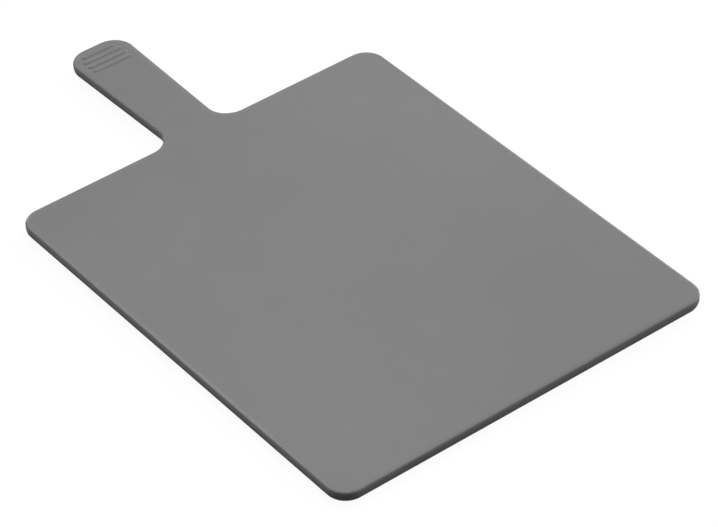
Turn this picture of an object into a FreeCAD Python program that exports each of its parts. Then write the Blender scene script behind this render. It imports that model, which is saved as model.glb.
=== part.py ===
import FreeCAD, Part
import math
import os

# A paddle-shaped cutting board moulded in one piece.
#
# Frame: millimetres, +Z up. The underside lies on z = 0, and the origin is under the middle
# of the whole length. The blade fills the -Y side, and the handle runs out along +Y.

# Blade
blade_width = 250.0
blade_length = 300.0
blade_corner_radius = 13.0

# Handle: its sides spread from the root to the free end
handle_length = 108.5
handle_root_width = 35.0
handle_end_width = 40.0
handle_end_radius = 13.5
handle_root_radius = 13.5

# Wall: the edge is crisp above and full below, with an upright land between
thickness = 8.0
top_round = 1.2
bottom_round = 4.8
least_land = 0.4

# The handle's top lies a hair below the cutting face, where the mould's handle insert starts
handle_step = 0.12

# Grip ribs: low raised bars across the handle, near its free end
rib_count = 4
rib_width = 3.0
rib_pitch = 5.1
rib_height = 0.4
rib_edge_round = 0.3
rib_end_margin = 5.6
rib_side_margin = 6.0

# Edges that lie flat at one height are found to within this
level_match = 1e-6

# Places that follow from the sizes above
overall_length = blade_length + handle_length
front_y = -overall_length / 2
rear_y = front_y + blade_length
end_y = rear_y + handle_length
handle_top = thickness - handle_step


def edge_rounds():
    """Return the top and bottom rounding, both eased where the wall is too thin for them."""
    room = thickness - least_land
    ease = min(1.0, room / (top_round + bottom_round))
    return top_round * ease, bottom_round * ease


def plan_corners():
    """Return the outline's sharp corners and their radii, anticlockwise from the front left."""
    half_blade = blade_width / 2
    half_root = handle_root_width / 2
    half_end = handle_end_width / 2
    right = [
        (half_blade, front_y, blade_corner_radius),
        (half_blade, rear_y, blade_corner_radius),
        (half_root, rear_y, handle_root_radius),
        (half_end, end_y, handle_end_radius),
    ]
    left = [(-x, y, radius) for x, y, radius in reversed(right)]
    return right + left


def rounded_wire(corners):
    """Return a closed wire through the corners, each rounded by an arc of its own radius."""
    arcs = []
    for i, (x, y, radius) in enumerate(corners):
        corner = FreeCAD.Vector(x, y, 0)
        before = FreeCAD.Vector(*corners[i - 1][:2], 0) - corner
        after = FreeCAD.Vector(*corners[(i + 1) % len(corners)][:2], 0) - corner
        half_angle = before.getAngle(after) / 2
        before.normalize()
        after.normalize()
        middle = (before + after).normalize()
        tangent_run = radius / math.tan(half_angle)
        crown_run = radius / math.sin(half_angle) - radius
        start = corner + before * tangent_run
        crown = corner + middle * crown_run
        end = corner + after * tangent_run
        arcs.append((start, crown, end))
    edges = []
    for i, (start, crown, end) in enumerate(arcs):
        edges.append(Part.LineSegment(arcs[i - 1][2], start).toShape())
        edges.append(Part.Arc(start, crown, end).toShape())
    return Part.Wire(edges)


def edges_at(solid, level):
    """Return the solid's edges that lie flat at a height."""
    return [
        edge
        for edge in solid.Edges
        if abs(edge.BoundBox.ZMin - level) < level_match
        and abs(edge.BoundBox.ZMax - level) < level_match
    ]


def slab(top_level):
    """Return the whole outline as a slab up to a level, with its edge rounded above and below."""
    solid = Part.Face(rounded_wire(plan_corners())).extrude(FreeCAD.Vector(0, 0, top_level))
    above, below = edge_rounds()
    solid = solid.makeFillet(above, edges_at(solid, top_level))
    return solid.makeFillet(below, edges_at(solid, 0.0))


def zone(from_y, to_y):
    """Return a block that holds everything between two places along the length."""
    width = 2 * blade_width
    height = 3 * thickness
    corner = FreeCAD.Vector(-width / 2, from_y, -thickness)
    return Part.makeBox(width, to_y - from_y, height, corner)


def half_width_at(distance):
    """Return half the handle's width at a distance in from its free end."""
    spread = (handle_end_width - handle_root_width) / 2 / handle_length
    side = handle_end_width / 2 - spread * distance
    inside_arc = max(0.0, handle_end_radius - distance)
    return side - handle_end_radius + math.sqrt(handle_end_radius**2 - inside_arc**2)


def rib(distance):
    """Return one round-ended bar across the handle, its far side at a distance from the end."""
    reach = half_width_at(distance) - rib_side_margin
    end_radius = rib_width / 2
    straight = reach - end_radius
    middle_y = end_y - distance - end_radius
    right_near = FreeCAD.Vector(straight, middle_y - end_radius, 0)
    right_tip = FreeCAD.Vector(reach, middle_y, 0)
    right_far = FreeCAD.Vector(straight, middle_y + end_radius, 0)
    left_far = FreeCAD.Vector(-straight, middle_y + end_radius, 0)
    left_tip = FreeCAD.Vector(-reach, middle_y, 0)
    left_near = FreeCAD.Vector(-straight, middle_y - end_radius, 0)
    edges = [
        Part.Arc(right_near, right_tip, right_far).toShape(),
        Part.LineSegment(right_far, left_far).toShape(),
        Part.Arc(left_far, left_tip, left_near).toShape(),
        Part.LineSegment(left_near, right_near).toShape(),
    ]
    sunk = rib_height
    bar_height = rib_height + sunk
    bar = Part.Face(Part.Wire(edges)).extrude(FreeCAD.Vector(0, 0, bar_height))
    bar = bar.makeFillet(rib_edge_round, edges_at(bar, bar_height))
    return bar.translated(FreeCAD.Vector(0, 0, handle_top - sunk))


def board():
    """Return the board: blade and handle at their two levels, and the grip ribs on the handle."""
    blade = slab(thickness).common(zone(front_y - thickness, rear_y))
    handle = slab(handle_top).common(zone(rear_y, end_y + thickness))
    ribs = [rib(rib_end_margin + i * rib_pitch) for i in range(rib_count)]
    return blade.fuse([handle] + ribs).removeSplitter()


os.makedirs("parts", exist_ok=True)
board().exportStep("parts/board.step")
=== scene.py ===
"""Looks of a paddle-shaped cutting board moulded in one piece of grey plastic.

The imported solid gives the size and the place. The board is rebuilt here as one closed surface
with fine edge roundings, the low ribs on the handle and the slight waviness of a real moulding.
"""

import logging
import math
from dataclasses import dataclass, field
from enum import Enum

import bpy
import numpy as np
import numpy.typing as npt
from mathutils import Euler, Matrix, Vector


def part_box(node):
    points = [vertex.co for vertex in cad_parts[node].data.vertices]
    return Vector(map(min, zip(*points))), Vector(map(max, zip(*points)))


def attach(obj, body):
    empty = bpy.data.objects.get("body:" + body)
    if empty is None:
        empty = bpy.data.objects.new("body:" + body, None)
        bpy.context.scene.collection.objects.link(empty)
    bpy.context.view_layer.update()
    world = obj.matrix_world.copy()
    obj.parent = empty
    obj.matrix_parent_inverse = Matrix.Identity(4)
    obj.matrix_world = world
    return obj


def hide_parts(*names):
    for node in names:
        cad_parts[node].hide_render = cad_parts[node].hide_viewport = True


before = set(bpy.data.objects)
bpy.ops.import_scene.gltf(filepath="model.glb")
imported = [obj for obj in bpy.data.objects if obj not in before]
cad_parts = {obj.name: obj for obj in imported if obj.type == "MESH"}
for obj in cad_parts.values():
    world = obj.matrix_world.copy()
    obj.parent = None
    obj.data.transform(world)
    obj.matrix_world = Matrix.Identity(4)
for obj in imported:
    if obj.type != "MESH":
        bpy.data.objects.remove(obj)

FloatArray = npt.NDArray[np.float64]
IntArray = npt.NDArray[np.int64]

NODE = "board"
BODY = "root"
POLISH = "polish"
# The point attribute that holds the painted highlight and painted shade along the handle's step.
PAINTED_STEP_SHADING = "painted_step_shading"
OPENNESS = "openness"
LOG = logging.getLogger("paddle_board")


class Bend(Enum):
    """Which way a plan corner turns: outwards like a blade corner, or inwards like the root."""

    CONVEX = 1
    CONCAVE = -1


class Skin(Enum):
    """The two broad faces of the board."""

    TOP = "top"
    UNDERSIDE = "underside"


def smooth_step(t: FloatArray) -> FloatArray:
    """Ease from 0 to 1 by three t squared minus two t cubed, held level outside 0 to 1.

    Args:
        t: Places along the step, where 0 is its foot and 1 its head.

    Returns:
        The eased heights.
    """
    held = np.clip(t, 0.0, 1.0)
    return held * held * (3.0 - 2.0 * held)


@dataclass
class Stations:
    """Places along the plan outline, each with the direction that points out of the board."""

    points: FloatArray
    normals: FloatArray

    def inset(self, depth: FloatArray | float) -> FloatArray:
        """Give the stations moved into the board: point minus depth times outward normal."""
        return self.points - depth * self.normals

    @staticmethod
    def join(parts: list["Stations"]) -> "Stations":
        """Put runs of stations end to end."""
        return Stations(
            np.concatenate([part.points for part in parts]),
            np.concatenate([part.normals for part in parts]),
        )


def corner_arc(
    before: FloatArray,
    corner: FloatArray,
    after: FloatArray,
    radius: float,
    bend: Bend,
    cells: int,
) -> Stations:
    """Round one plan corner.

    The centre lies on the corner's bisector, at radius over the sine of half the angle, and the
    points are the centre plus radius times (cos a, sin a) at evenly spaced angles a between the
    two places where the arc touches the straight runs.

    Args:
        before: The sharp corner that the outline comes from.
        corner: The sharp corner to round.
        after: The sharp corner that the outline goes to.
        radius: The arc's radius in metres.
        bend: Which way the corner turns.
        cells: How many steps the arc is cut into.

    Returns:
        The stations along the arc, in the outline's order.
    """
    back = (before - corner) / np.linalg.norm(before - corner)
    ahead = (after - corner) / np.linalg.norm(after - corner)
    half_angle = math.acos(float(np.clip(back @ ahead, -1.0, 1.0))) / 2
    middle = (back + ahead) / np.linalg.norm(back + ahead)
    centre = corner + middle * radius / math.sin(half_angle)
    first = corner + back * radius / math.tan(half_angle) - centre
    last = corner + ahead * radius / math.tan(half_angle) - centre
    start = math.atan2(first[1], first[0])
    turn = (math.atan2(last[1], last[0]) - start + math.pi) % math.tau - math.pi
    angles = start + turn * np.linspace(0.0, 1.0, cells + 1)
    spokes = np.stack([np.cos(angles), np.sin(angles)], axis=1)
    return Stations(centre + radius * spokes, bend.value * spokes)


def straight_run(start: FloatArray, end: FloatArray, shares: FloatArray) -> Stations:
    """Place stations between two points, without the ends: start plus share times the run.

    Args:
        start: Where the run starts.
        end: Where the run ends.
        shares: Rising shares of the run, each between 0 and 1.

    Returns:
        The stations, whose normals point to the right of the way along the run.
    """
    along = end - start
    points = start + shares[:, None] * along
    outward = np.array([along[1], -along[0]]) / np.linalg.norm(along)
    return Stations(points, np.broadcast_to(outward, points.shape).copy())


@dataclass
class Plan:
    """The board's outline seen from above, in metres, with the blade towards -Y."""

    width: float
    front_y: float
    end_y: float
    blade_length: float = 0.300
    corner_radius: float = 0.013
    handle_root_width: float = 0.035
    handle_end_width: float = 0.040
    handle_end_radius: float = 0.0135
    root_radius: float = 0.0135
    corner_cells: int = 24
    side_cells: int = 48
    root_cells: int = 16
    grip_cells: int = 30
    end_cells: int = 44
    fine_length: float = 0.016
    fine_cells: int = 44

    @property
    def rear_y(self) -> float:
        """Where the blade ends and the handle starts."""
        return self.front_y + self.blade_length

    def right_corners(self) -> FloatArray:
        """Give the sharp corners of the right half, from the front to the handle's end."""
        half = self.width / 2
        return np.array(
            [
                (0.0, self.front_y),
                (half, self.front_y),
                (half, self.rear_y),
                (self.handle_root_width / 2, self.rear_y),
                (self.handle_end_width / 2, self.end_y),
                (0.0, self.end_y),
            ]
        )

    def blade_side(self) -> Stations:
        """Give the right side of the blade, from the front edge's end to the rear edge's start."""
        start, front, rear, root = self.right_corners()[:4]
        near = corner_arc(start, front, rear, self.corner_radius, Bend.CONVEX, self.corner_cells)
        far = corner_arc(front, rear, root, self.corner_radius, Bend.CONVEX, self.corner_cells)
        shares = np.linspace(0.0, 1.0, self.side_cells + 1)[1:-1]
        return Stations.join([near, straight_run(near.points[-1], far.points[0], shares), far])

    def handle_side(self) -> Stations:
        """Give the right side of the handle, from the rear edge's end to the end edge's start.

        The last stretch before the end's rounding has short steps, for the ribs that it carries.
        """
        rear, root, end, tip = self.right_corners()[2:]
        fillet = corner_arc(rear, root, end, self.root_radius, Bend.CONCAVE, self.root_cells)
        nose = corner_arc(root, end, tip, self.handle_end_radius, Bend.CONVEX, self.end_cells)
        run = float(np.linalg.norm(nose.points[0] - fillet.points[-1]))
        change = 1.0 - self.fine_length / run
        coarse = np.linspace(0.0, change, self.grip_cells + 1)[1:]
        fine = np.linspace(change, 1.0, self.fine_cells + 1)[1:-1]
        shares = np.concatenate([coarse, fine])
        return Stations.join(
            [fillet, straight_run(fillet.points[-1], nose.points[0], shares), nose]
        )


@dataclass
class GripRibs:
    """The low raised bars across the handle, near its free end, in metres."""

    count: int = 4
    width: float = 0.0030
    pitch: float = 0.0051
    height: float = 0.0004
    end_margin: float = 0.0056
    side_margin: float = 0.006
    flank: float = 0.0007

    def relief(self, plan: Plan, x: FloatArray, y: FloatArray) -> FloatArray:
        """Give the ribs' height over the handle's face.

        Each rib is a round-ended bar: the distance to its middle line, taken from half its width,
        is eased over the flank's width and multiplied by the rib's height.

        Args:
            plan: The outline that the ribs keep clear of.
            x: Places across the board.
            y: Places along the board.

        Returns:
            The heights above the plain face, at each place.
        """
        far = self.end_margin + self.pitch * np.arange(self.count)
        spread = (plan.handle_end_width - plan.handle_root_width) / 2
        slope = spread / (plan.end_y - plan.rear_y)
        radius = plan.handle_end_radius
        inside = np.clip(radius - far, 0.0, None)
        half_width = plan.handle_end_width / 2 - slope * far - radius
        half_width = half_width + np.sqrt(radius**2 - inside**2)
        straight = half_width - self.side_margin - self.width / 2
        middle = plan.end_y - far - self.width / 2
        past_end = np.clip(np.abs(x)[..., None] - straight, 0.0, None)
        distance = np.hypot(past_end, y[..., None] - middle)
        rise = smooth_step((self.width / 2 - distance) / self.flank)
        return self.height * rise.max(axis=-1)


@dataclass
class Edge:
    """The board's edge: a faint shoulder and a crisp rounding above, and a full one below."""

    top_round: float = 0.0011
    bottom_round: float = 0.0048
    shoulder_radius: float = 0.040
    shoulder_tilt: float = math.radians(4.0)
    lead_in: float = 0.0006
    round_cells: int = 10
    shoulder_cells: int = 5
    polish_from: float = math.radians(0.3)
    polish_full: float = math.radians(2.0)
    polish_fades: float = math.radians(4.5)
    polish_ends: float = math.radians(14.0)

    def profile(self, height: float) -> tuple[FloatArray, FloatArray, FloatArray]:
        """Give the edge's section from the top face to the underside.

        The surface's tilt a grows from 0 on the top face to a right angle on the wall. Up to the
        shoulder's tilt it follows an arc of the shoulder's radius and then one of the top
        rounding's, where inset and height run as minus radius times sin a and radius times
        cos a. Below, the inset is r times (1 - cos a) and the height r times (1 - sin a).

        Args:
            height: The wall's height.

        Returns:
            Each section point's inset from the outline, its height, and the polish of the rim
            there, which eases from 0 to 1 where the tilt sets in and back where it grows steep.
        """
        shoulder = np.linspace(0.0, self.shoulder_tilt, self.shoulder_cells + 1)
        crisp = np.linspace(self.shoulder_tilt, math.pi / 2, self.round_cells + 1)[1:]
        below = np.linspace(0.0, math.pi / 2, self.round_cells + 1)
        extra = self.shoulder_radius - self.top_round
        crisp_in = self.top_round * (1.0 - np.sin(crisp))
        crisp_rise = self.top_round * np.cos(crisp)
        start_in = self.top_round + extra * math.sin(self.shoulder_tilt)
        start_rise = -extra * math.cos(self.shoulder_tilt)
        shoulder_in = start_in - self.shoulder_radius * np.sin(shoulder)
        shoulder_rise = start_rise + self.shoulder_radius * np.cos(shoulder)
        above_in = np.concatenate([shoulder_in, crisp_in])
        above_z = height - shoulder_rise[0] + np.concatenate([shoulder_rise, crisp_rise])
        below_in = self.bottom_round * (1.0 - np.cos(below))
        below_z = self.bottom_round * (1.0 - np.sin(below))
        lead = above_in[0] + self.lead_in
        trail = self.bottom_round + self.lead_in
        inset = np.concatenate([[lead], above_in, below_in, [trail]])
        level = np.concatenate([[height], above_z, below_z, [0.0]])
        tilt = np.concatenate([[0.0], shoulder, crisp, math.pi / 2 - below, [0.0]])
        rise = smooth_step((tilt - self.polish_from) / (self.polish_full - self.polish_from))
        fall = smooth_step((tilt - self.polish_fades) / (self.polish_ends - self.polish_fades))
        return inset, level, rise * (1.0 - fall)


@dataclass
class PaintedStepShading:
    """A painted highlight and painted shade along the handle's small step at its root, in metres.
    """

    dark: float = 0.05
    dark_at: float = -0.0017
    pale: float = 0.025
    pale_at: float = 0.00025
    spread: float = 0.0005
    fade_from: float = 0.017
    fade_to: float = 0.024

    def shade(self, x: FloatArray, past_rear: FloatArray) -> FloatArray:
        """Give how much paler the pigment is painted along the handle's step.

        Two bells lie along it, each exp(-(distance / spread) squared) times its strength. The
        pale one, a painted highlight on the handle's side, is added. The dark one, painted shade
        on the blade's side, is taken away. Both fade out past the handle's sides.

        Args:
            x: Places across the board.
            past_rear: Places along the board, from the blade's rear edge towards the handle.

        Returns:
            The change at each place, as a share of the pigment.
        """
        pale = np.exp(-(((past_rear - self.pale_at) / self.spread) ** 2))
        dark = np.exp(-(((past_rear - self.dark_at) / self.spread) ** 2))
        gone = smooth_step((np.abs(x) - self.fade_from) / (self.fade_to - self.fade_from))
        return (self.pale * pale - self.dark * dark) * (1.0 - gone)


@dataclass
class BoardMoulding:
    """The whole board as one closed surface on a grid that follows its outline."""

    plan: Plan
    thickness: float = 0.008
    handle_step: float = 0.00012
    step_run: float = 0.0012
    edge: Edge = field(default_factory=Edge)
    ribs: GripRibs = field(default_factory=GripRibs)
    # Painted highlight and painted shade along the handle's step.
    painted_step_shading: PaintedStepShading = field(default_factory=PaintedStepShading)
    middle_cells: int = 120
    outer_cells: int = 20

    def top_height(self, x: FloatArray, y: FloatArray) -> FloatArray:
        """Give the top's height: the wall, less the handle's small step, plus the ribs."""
        past_rear = (y - self.plan.rear_y) / self.step_run + 0.5
        plain = self.thickness - self.handle_step * smooth_step(past_rear)
        return plain + self.ribs.relief(self.plan, x, y)

    def columns(self, half_width: FloatArray, middle: float) -> FloatArray:
        """Spread the blade's columns over each row.

        The middle columns run straight along the board at the width of the handle's root, and
        the outer ones share out what is left of the row on each side.

        Args:
            half_width: Half of each row's width.
            middle: Half the width of the middle band.

        Returns:
            The x of every grid point, one row for each half width.
        """
        share = np.linspace(0.0, 1.0, self.outer_cells + 1)[1:]
        right = middle + (half_width[:, None] - middle) * share
        band = middle * np.linspace(-1.0, 1.0, self.middle_cells + 1)
        band = np.broadcast_to(band, (len(half_width), len(band)))
        return np.concatenate([-right[:, ::-1], band, right], axis=1)

    def face_grid(self, inset: float, skin: Skin) -> tuple[FloatArray, IntArray, IntArray]:
        """Build one broad face, inset from the outline.

        Rows cross the board at one y each, which is the outline's y less the inset times the
        outward normal's, and end at the outline's x less the inset times the normal's.

        Args:
            inset: How far inside the outline the face ends.
            skin: Which face to build.

        Returns:
            The points, and the point numbers of the blade's grid and of the handle's grid, which
            share the row where they meet.
        """
        blade = self.plan.blade_side().inset(inset)
        handle = self.plan.handle_side().inset(inset)
        blade_x = self.columns(blade[:, 0], handle[0, 0])
        blade_y = np.broadcast_to(blade[:, 1:], blade_x.shape)
        band = np.linspace(-1.0, 1.0, self.middle_cells + 1)
        handle_x = handle[1:, :1] * band
        handle_y = np.broadcast_to(handle[1:, 1:], handle_x.shape)
        x = np.concatenate([blade_x.ravel(), handle_x.ravel()])
        y = np.concatenate([blade_y.ravel(), handle_y.ravel()])
        z = self.top_height(x, y) if skin is Skin.TOP else np.zeros_like(x)
        blade_ids = np.arange(blade_x.size).reshape(blade_x.shape)
        shared = blade_ids[-1:, self.outer_cells : self.outer_cells + self.middle_cells + 1]
        own = blade_x.size + np.arange(handle_x.size).reshape(handle_x.shape)
        return np.stack([x, y, z], axis=1), blade_ids, np.concatenate([shared, own])

    def rim_order(self, blade: IntArray, handle: IntArray) -> IntArray:
        """List a face's border points anticlockwise, from the front edge's left end."""
        left_root = self.outer_cells
        right_root = left_root + self.middle_cells
        return np.concatenate(
            [
                blade[0, :],
                blade[1:, -1],
                blade[-1, -2 : right_root - 1 : -1],
                handle[1:, -1],
                handle[-1, -2::-1],
                handle[-2:0:-1, 0],
                blade[-1, left_root::-1],
                blade[-2:0:-1, 0],
            ]
        )

    def rim_normals(self) -> FloatArray:
        """Give the outward direction at each border point, in the same order."""
        blade = self.plan.blade_side().normals
        handle = self.plan.handle_side().normals
        mirror = np.array([-1.0, 1.0])
        width_cells = self.middle_cells + 2 * self.outer_cells
        ahead = np.array([0.0, 1.0])
        return np.concatenate(
            [
                np.tile(-ahead, (width_cells + 1, 1)),
                blade[1:],
                np.tile(ahead, (self.outer_cells, 1)),
                handle[1:],
                np.tile(ahead, (self.middle_cells, 1)),
                (handle * mirror)[-2:0:-1],
                np.tile(ahead, (self.outer_cells + 1, 1)),
                (blade * mirror)[-2:0:-1],
            ]
        )

    def mesh(self) -> bpy.types.Mesh:
        """Build the closed surface: top, edge and underside, joined at their borders."""
        inset, level, polish = self.edge.profile(self.thickness)
        top, blade, handle = self.face_grid(float(inset[0]), Skin.TOP)
        under, _, _ = self.face_grid(float(inset[-1]), Skin.UNDERSIDE)
        rim = self.rim_order(blade, handle)
        normals = self.rim_normals()
        outline = top[rim, :2] + inset[0] * normals
        lift = top[rim, 2] - self.thickness
        share = (level[1:-1] - self.edge.bottom_round) / (self.thickness - self.edge.bottom_round)
        share = np.clip(share, 0.0, 1.0)
        ring = outline[None] - inset[1:-1, None, None] * normals[None]
        height = level[1:-1, None] + lift[None] * share[:, None]
        wall = np.concatenate([ring, height[..., None]], axis=2)
        first_wall = len(top)
        first_under = first_wall + wall.shape[0] * wall.shape[1]
        wall_ids = first_wall + np.arange(first_under - first_wall).reshape(wall.shape[:2])
        bands = np.concatenate([rim[None], wall_ids, rim[None] + first_under])
        quads = [
            grid_quads(blade),
            grid_quads(handle),
            ring_quads(bands),
            grid_quads(blade + first_under)[:, ::-1],
            grid_quads(handle + first_under)[:, ::-1],
        ]
        points = np.concatenate([top, wall.reshape(-1, 3), under])
        mesh = new_mesh("board_moulding", points, np.concatenate(quads))
        polished = np.zeros(len(points))
        polished[wall_ids] = polish[1:-1, None]
        add_layer(mesh, POLISH, polished)
        # The painted highlight and painted shade along the handle's step, one number for each top
        # point.
        shade = np.zeros(len(points))
        shade[:first_wall] = self.painted_step_shading.shade(top[:, 0], top[:, 1] - self.plan.rear_y)
        add_layer(mesh, PAINTED_STEP_SHADING, shade)
        return mesh


def grid_quads(ids: IntArray) -> IntArray:
    """List the four-sided faces of a grid of point numbers, facing up when x and y rise."""
    corners = [ids[:-1, :-1], ids[:-1, 1:], ids[1:, 1:], ids[1:, :-1]]
    return np.stack(corners, axis=-1).reshape(-1, 4)


def ring_quads(bands: IntArray) -> IntArray:
    """List the faces between closed rings of point numbers, facing out when they go down."""
    after = np.roll(bands, -1, axis=1)
    corners = [bands[:-1], bands[1:], after[1:], after[:-1]]
    return np.stack(corners, axis=-1).reshape(-1, 4)


def new_mesh(name: str, points: FloatArray, quads: IntArray) -> bpy.types.Mesh:
    """Put points and four-sided faces into a smooth-shaded mesh.

    Args:
        name: The mesh's name.
        points: One row of x, y, z for each point, in metres.
        quads: One row of four point numbers for each face.

    Returns:
        The mesh.
    """
    mesh = bpy.data.meshes.new(name)
    mesh.vertices.add(len(points))
    mesh.vertices.foreach_set("co", points.astype(np.float32).ravel())
    mesh.loops.add(quads.size)
    mesh.loops.foreach_set("vertex_index", quads.astype(np.int32).ravel())
    mesh.polygons.add(len(quads))
    mesh.polygons.foreach_set("loop_start", np.arange(0, quads.size, 4, dtype=np.int32))
    mesh.update(calc_edges=True)
    mesh.shade_smooth()
    return mesh


def add_layer(mesh: bpy.types.Mesh, name: str, values: FloatArray) -> None:
    """Store one number for each point of a mesh, for a material to read by its name."""
    layer = mesh.attributes.new(name, "FLOAT", "POINT")
    layer.data.foreach_set("value", values.astype(np.float32))


def new_object(mesh: bpy.types.Mesh) -> bpy.types.Object:
    """Link a mesh to the scene as an object of the same name, at the origin."""
    piece = bpy.data.objects.new(mesh.name, mesh)
    bpy.context.scene.collection.objects.link(piece)
    return piece


def add_node(
    tree: bpy.types.NodeTree,
    kind: str,
    inputs: dict[str | int, object] | None = None,
    **settings: object,
) -> bpy.types.Node:
    """Add one shader node and fill its sockets.

    Args:
        tree: The node tree to add to.
        kind: The node's type name.
        inputs: For each input socket, by name or number, a value or another node's output.
        settings: The node's own properties.

    Returns:
        The node.
    """
    node = tree.nodes.new(kind)
    for name, value in settings.items():
        setattr(node, name, value)
    for name, value in (inputs or {}).items():
        if isinstance(value, bpy.types.NodeSocket):
            tree.links.new(value, node.inputs[name])
        else:
            node.inputs[name].default_value = value
    return node


def seen_rays(tree: bpy.types.NodeTree) -> bpy.types.NodeSocket:
    """Give 1 for a ray from the camera, off a gloss or through glass, and 0 for other rays."""
    rays = add_node(tree, "ShaderNodeLightPath").outputs
    gloss = add_node(
        tree,
        "ShaderNodeMath",
        {0: rays["Is Glossy Ray"], 1: rays["Is Transmission Ray"]},
        operation="MAXIMUM",
    )
    return add_node(
        tree,
        "ShaderNodeMath",
        {0: rays["Is Camera Ray"], 1: gloss.outputs["Value"]},
        operation="MAXIMUM",
    ).outputs["Value"]


@dataclass(frozen=True)
class MouldedPlastic:
    """Satin grey plastic with even pigment and a fine mould texture.

    The rim's shoulder is a little polished, the lower rounding and the underside are more matt,
    and a painted highlight and painted shade lie along the handle's step at its root.
    """

    colour: tuple[float, float, float] = (0.215, 0.215, 0.215)
    roughness: float = 0.48
    specular: float = 0.2
    cloud_scale: float = 13.0
    cloud_depth: float = 0.015
    pigment_scale: float = 1500.0
    pigment_depth: float = 0.02
    haze_scale: float = 45.0
    haze_depth: float = 0.08
    grain_scale: float = 2400.0
    grain_height: float = 0.000018
    peel_scale: float = 420.0
    peel_height: float = 0.00002
    rim_roughness: float = 0.2
    under_roughness: float = 0.75
    matt_below: float = 0.0048
    satin_above: float = 0.0069
    cloud_octaves: float = 3.0
    cloud_low: float = 0.3
    cloud_high: float = 0.7
    relief_octaves: float = 2.0

    def build(self) -> bpy.types.Material:
        """Make the material, whose roughness follows the rim's polish and the height."""
        material = bpy.data.materials.new("moulded_plastic")
        material.use_nodes = True
        tree = material.node_tree
        place = add_node(tree, "ShaderNodeTexCoord").outputs["Object"]
        cloud = self.noise(tree, place, self.cloud_scale, self.cloud_depth)
        pigment = self.noise(tree, place, self.pigment_scale, self.pigment_depth)
        haze = self.noise(tree, place, self.haze_scale, self.haze_depth)
        shade = add_node(tree, "ShaderNodeMath", {0: cloud, 1: pigment}, operation="MULTIPLY")
        # The painted highlight and painted shade along the handle's step scale the pigment: tone
        # times one plus their value.
        painted_step_shading = add_node(tree, "ShaderNodeAttribute", attribute_name=PAINTED_STEP_SHADING)
        step_shaded = add_node(
            tree,
            "ShaderNodeMath",
            {0: shade.outputs["Value"], 1: painted_step_shading.outputs["Fac"], 2: shade.outputs["Value"]},
            operation="MULTIPLY_ADD",
        )
        tint = add_node(
            tree,
            "ShaderNodeVectorMath",
            {"Vector": self.colour, "Scale": step_shaded.outputs["Value"]},
            operation="SCALE",
        )
        height = add_node(tree, "ShaderNodeSeparateXYZ", {"Vector": place}).outputs["Z"]
        polish = add_node(tree, "ShaderNodeAttribute", attribute_name=POLISH)
        upper = add_node(
            tree,
            "ShaderNodeMapRange",
            {
                "Value": polish.outputs["Fac"],
                "To Min": self.roughness,
                "To Max": self.rim_roughness,
            },
        )
        sheen = add_node(
            tree,
            "ShaderNodeMapRange",
            {
                "Value": height,
                "From Min": self.matt_below,
                "From Max": self.satin_above,
                "To Min": self.under_roughness,
                "To Max": upper.outputs["Result"],
            },
        )
        rough = add_node(
            tree,
            "ShaderNodeMath",
            {0: sheen.outputs["Result"], 1: haze},
            operation="MULTIPLY",
        )
        shader = tree.nodes["Principled BSDF"]
        shader.inputs["Specular IOR Level"].default_value = self.specular
        tree.links.new(tint.outputs["Vector"], shader.inputs["Base Color"])
        tree.links.new(rough.outputs["Value"], shader.inputs["Roughness"])
        tree.links.new(self.texture(tree, place), shader.inputs["Normal"])
        return material

    def noise(
        self, tree: bpy.types.NodeTree, place: bpy.types.NodeSocket, scale: float, depth: float
    ) -> bpy.types.NodeSocket:
        """Give a cloudy factor that wanders around 1, to depth above and below.

        Args:
            tree: The material's node tree.
            place: Where on the board the factor is taken.
            scale: How many clouds lie along a metre.
            depth: How far the factor strays from 1.

        Returns:
            The factor.
        """
        clouds = add_node(
            tree,
            "ShaderNodeTexNoise",
            {"Vector": place, "Scale": scale, "Detail": self.cloud_octaves},
        )
        return add_node(
            tree,
            "ShaderNodeMapRange",
            {
                "Value": clouds.outputs["Fac"],
                "From Min": self.cloud_low,
                "From Max": self.cloud_high,
                "To Min": 1.0 - depth,
                "To Max": 1.0 + depth,
            },
        ).outputs["Result"]

    def texture(
        self, tree: bpy.types.NodeTree, place: bpy.types.NodeSocket
    ) -> bpy.types.NodeSocket:
        """Give the bumped normal: the mould's fine grain over a longer, fainter ripple."""
        normal = None
        for scale, height in (
            (self.peel_scale, self.peel_height),
            (self.grain_scale, self.grain_height),
        ):
            relief = add_node(
                tree,
                "ShaderNodeTexNoise",
                {"Vector": place, "Scale": scale, "Detail": self.relief_octaves},
            )
            sockets = {"Height": relief.outputs["Fac"], "Distance": height}
            if normal is not None:
                sockets["Normal"] = normal
            normal = add_node(tree, "ShaderNodeBump", sockets).outputs["Normal"]
        return normal


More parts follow.
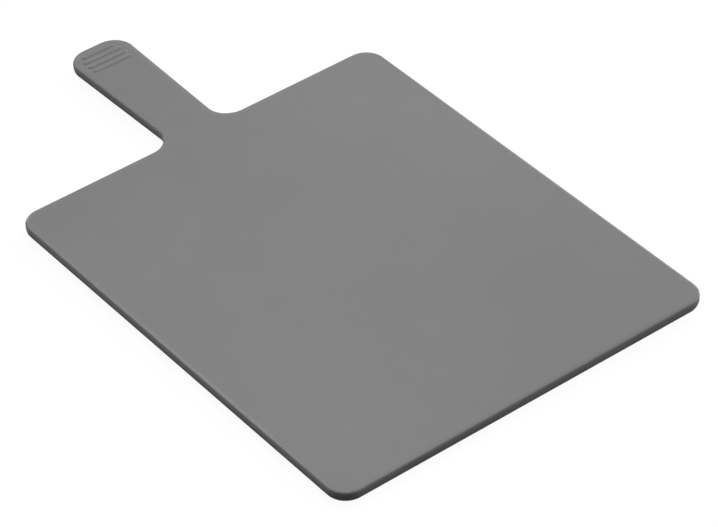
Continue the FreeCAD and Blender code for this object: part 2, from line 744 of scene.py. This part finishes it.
@dataclass(frozen=True)
class FloorPaint:
    """A pale studio floor that reads white, keeps a soft shadow and is clear from below."""

    albedo: float = 0.1
    glow: float = 0.945

    def build(self) -> bpy.types.Material:
        """Make the material: a matt paint with a white glow, on the upper side alone.

        Where the floor's openness says so, a lamp's light passes through it.
        """
        material = bpy.data.materials.new("floor_paint")
        material.use_nodes = True
        tree = material.node_tree
        tree.nodes.clear()
        grey = (self.albedo, self.albedo, self.albedo, 1.0)
        matt = add_node(tree, "ShaderNodeBsdfDiffuse", {"Color": grey})
        strength = add_node(
            tree, "ShaderNodeMath", {0: seen_rays(tree), 1: self.glow}, operation="MULTIPLY"
        )
        glow = add_node(tree, "ShaderNodeEmission", {"Strength": strength.outputs["Value"]})
        upper = add_node(
            tree, "ShaderNodeAddShader", {0: matt.outputs["BSDF"], 1: glow.outputs["Emission"]}
        )
        lamp_ray = add_node(tree, "ShaderNodeLightPath").outputs["Is Shadow Ray"]
        open_here = add_node(tree, "ShaderNodeAttribute", attribute_name=OPENNESS)
        let_through = add_node(
            tree,
            "ShaderNodeMath",
            {0: lamp_ray, 1: open_here.outputs["Fac"]},
            operation="MULTIPLY",
        )
        from_below = add_node(tree, "ShaderNodeNewGeometry").outputs["Backfacing"]
        gone = add_node(
            tree,
            "ShaderNodeMath",
            {0: from_below, 1: let_through.outputs["Value"]},
            operation="MAXIMUM",
        )
        clear = add_node(tree, "ShaderNodeBsdfTransparent")
        both = add_node(
            tree,
            "ShaderNodeMixShader",
            {0: gone.outputs["Value"], 1: upper.outputs["Shader"], 2: clear.outputs["BSDF"]},
        )
        add_node(tree, "ShaderNodeOutputMaterial", {"Surface": both.outputs["Shader"]})
        return material


@dataclass
class SoftBox:
    """A square studio lamp that faces a spot on the board."""

    name: str
    azimuth: float
    elevation: float
    power: float
    size: float = 1.2
    distance: float = 2.5
    spot: tuple[float, float] = (0.0, 0.0)

    def build(self) -> bpy.types.Object:
        """Make the lamp, at its distance from the spot, out of the camera's sight.

        The way from the spot to the lamp is (sin a cos e, minus cos a cos e, sin e), where a is
        the azimuth and e the elevation.
        """
        lamp = bpy.data.lights.new(self.name, "AREA")
        lamp.size = self.size
        lamp.energy = self.power
        lamp_object = bpy.data.objects.new(self.name, lamp)
        turn, rise = math.radians(self.azimuth), math.radians(self.elevation)
        away = Vector(
            (
                math.sin(turn) * math.cos(rise),
                -math.cos(turn) * math.cos(rise),
                math.sin(rise),
            )
        )
        lamp_object.location = Vector((*self.spot, 0.0)) + away * self.distance
        lamp_object.rotation_euler = away.to_track_quat("Z", "Y").to_euler()
        lamp_object.visible_camera = False
        bpy.context.scene.collection.objects.link(lamp_object)
        return lamp_object


@dataclass
class Studio:
    """Floor, lamps, world and camera round the board."""

    plan: Plan
    fade_width: float = 0.009
    fade_cells: int = 8
    camera_place: tuple[float, float, float] = (-0.88340, -1.29341, 1.25497)
    camera_turn: tuple[float, float, float] = (50.5029, 2.4828, -37.5779)
    lens: float = 179.685
    nearest_seen: float = 0.01
    world_light: float = 0.0868
    floor_reach: float = 6.0
    floor_drop: float = 0.0002
    lamps: tuple[SoftBox, ...] = (
        SoftBox("rear", 180.0, 40.0, 8.65),
        SoftBox("rear_right", 120.0, 22.0, 12.4),
        SoftBox("high_rear_right", 135.0, 55.0, 4.75),
        SoftBox("right", 105.0, 22.0, 25.2),
        SoftBox("front_right", 60.0, 25.0, 21.8),
        SoftBox("low_rear_left", 220.0, 12.0, 10.4),
        SoftBox("rim_left", 160.0, 47.0, 1.03, 0.25),
        SoftBox("rim_near_left", 152.0, 44.0, 0.74, 0.25),
        SoftBox("rim_rear_left", 165.0, 30.0, 3.7, 0.3),
        SoftBox("rim_rear", 147.0, 32.0, 0.5, 0.4),
        SoftBox("wide_rim_rear", 148.0, 32.0, 0.5, 0.9),
        SoftBox("rim_rear_mid", 154.0, 31.0, 0.25, 0.4),
        SoftBox("over_front_left", 0.0, 90.0, 0.124, 0.2, 0.35, (-0.13, -0.21)),
        SoftBox("near_front_left", 0.0, 90.0, 0.030, 0.08, 0.15, (-0.10, -0.18)),
        SoftBox("near_left", 0.0, 90.0, 0.020, 0.08, 0.15, (-0.10, 0.0)),
        SoftBox("near_right", 0.0, 90.0, 0.008, 0.08, 0.15, (0.10, 0.0)),
        SoftBox("near_rear_right", 0.0, 90.0, 0.016, 0.08, 0.15, (0.10, 0.07)),
        SoftBox("below", 0.0, -90.0, 38.0, 1.0, 2.0),
    )

    def build(self) -> None:
        """Make the whole set."""
        self.build_floor()
        self.build_world()
        self.build_camera()
        for lamp in self.lamps:
            lamp.build()

    def build_floor(self) -> None:
        """Lay the floor just below the board's underside.

        It is open beneath the board, so that the lamp below reaches the underside, and its
        openness eases in from the board's outline inwards. The inner rings of points are that
        outline moved inwards step by step, and the outer ring is the first of them thrown out
        from the blade's middle to the floor's reach.
        """
        shares = np.linspace(0.0, 1.0, self.fade_cells + 1)
        insets = self.fade_width * shares
        inner = np.stack([self.opening(float(inset)) for inset in insets])
        middle = np.array([0.0, (self.plan.front_y + self.plan.rear_y) / 2])
        spokes = inner[:1] - middle
        reach = self.floor_reach / np.linalg.norm(spokes, axis=2, keepdims=True)
        rings = np.concatenate([middle + spokes * reach, inner])
        points = rings.reshape(-1, 2)
        height = np.full(len(points), -self.floor_drop)
        quads = ring_quads(np.arange(len(points)).reshape(rings.shape[:2])[::-1])
        floor = new_object(new_mesh("floor", np.column_stack([points, height]), quads))
        openness = smooth_step(np.concatenate([[0.0], shares]))
        add_layer(floor.data, OPENNESS, np.repeat(openness, rings.shape[1]))
        floor.data.materials.append(FloorPaint().build())

    def opening(self, inset: float) -> FloatArray:
        """Give a closed ring of points under the board, inset from its outline."""
        blade = self.plan.blade_side().inset(inset)
        handle = self.plan.handle_side().inset(inset)
        right = np.concatenate([blade, handle])
        return np.concatenate([right, right[::-1] * np.array([-1.0, 1.0])])

    def build_world(self) -> None:
        """Surround the set with white that the camera and gloss see, and a plain even light."""
        world = bpy.data.worlds.new("studio")
        bpy.context.scene.world = world
        world.use_nodes = True
        tree = world.node_tree
        mix = add_node(
            tree, "ShaderNodeMix", {"Factor": seen_rays(tree), "A": self.world_light, "B": 1.0}
        )
        back = tree.nodes["Background"]
        back.inputs["Color"].default_value = (1.0, 1.0, 1.0, 1.0)
        tree.links.new(mix.outputs["Result"], back.inputs["Strength"])

    def build_camera(self) -> None:
        """Put the camera in its place and turn, and make it the scene's."""
        camera = bpy.data.cameras.new("camera")
        camera.lens = self.lens
        camera.clip_start = self.nearest_seen
        camera_object = bpy.data.objects.new("camera", camera)
        camera_object.location = self.camera_place
        camera_object.rotation_euler = Euler([math.radians(a) for a in self.camera_turn])
        bpy.context.scene.collection.objects.link(camera_object)
        bpy.context.scene.camera = camera_object


def main() -> None:
    """Build the board and its studio."""
    logging.basicConfig(level=logging.INFO, format="%(name)s: %(message)s")
    bpy.context.scene.view_settings.view_transform = "Standard"
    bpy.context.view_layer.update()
    low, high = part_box(NODE)
    plan = Plan(width=high.x - low.x, front_y=low.y, end_y=high.y)
    moulding = BoardMoulding(plan)
    board = new_object(moulding.mesh())
    board.data.materials.append(MouldedPlastic().build())
    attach(board, BODY)
    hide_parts(NODE)
    LOG.info("%s: %d faces", board.name, len(board.data.polygons))
    Studio(plan).build()


if __name__ == "__main__":
    main()
